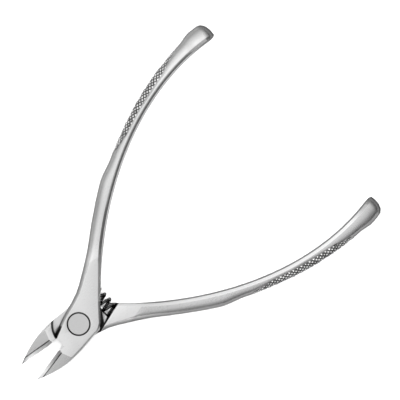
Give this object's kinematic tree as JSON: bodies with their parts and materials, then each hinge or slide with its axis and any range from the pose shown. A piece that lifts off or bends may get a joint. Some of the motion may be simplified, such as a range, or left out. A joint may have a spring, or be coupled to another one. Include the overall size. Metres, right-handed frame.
{
  "type": "cuticle nipper",
  "caption": "Steel lap-joint cuticle nipper with pointed bevelled jaws, bowed handles that end in rounded bulbs, a flush pivot pin and a coil return spring between the handle roots.",
  "frame": {"origin": "on the pivot axis, at the ground underside of the joint", "axes": "+X along the bisector of the open jaws towards the handles, +Z along the pivot axis towards the pin's head, +Y to the side of the front half's handle"},
  "size_m": [0.1013, 0.0728, 0.007],
  "materials": {
    "forging": "satin ground stainless steel",
    "pin": "fine ground steel",
    "spring": "bright drawn spring wire"
  },
  "bodies": {
    "rear": {"rear_half": "forging", "pivot_pin": "pin", "return_spring": "spring"},
    "front": {"front_half": "forging"}
  },
  "joints": [
    {"name": "jaw_pivot", "type": "hinge", "parent": "rear", "child": "front", "pos_m": [0, 0, 0], "axis": [0, 0, 1], "range_deg": [-17.3, 5], "stiffness_Nm_per_rad": 1.2, "deforming": ["return_spring"]}
  ]
}
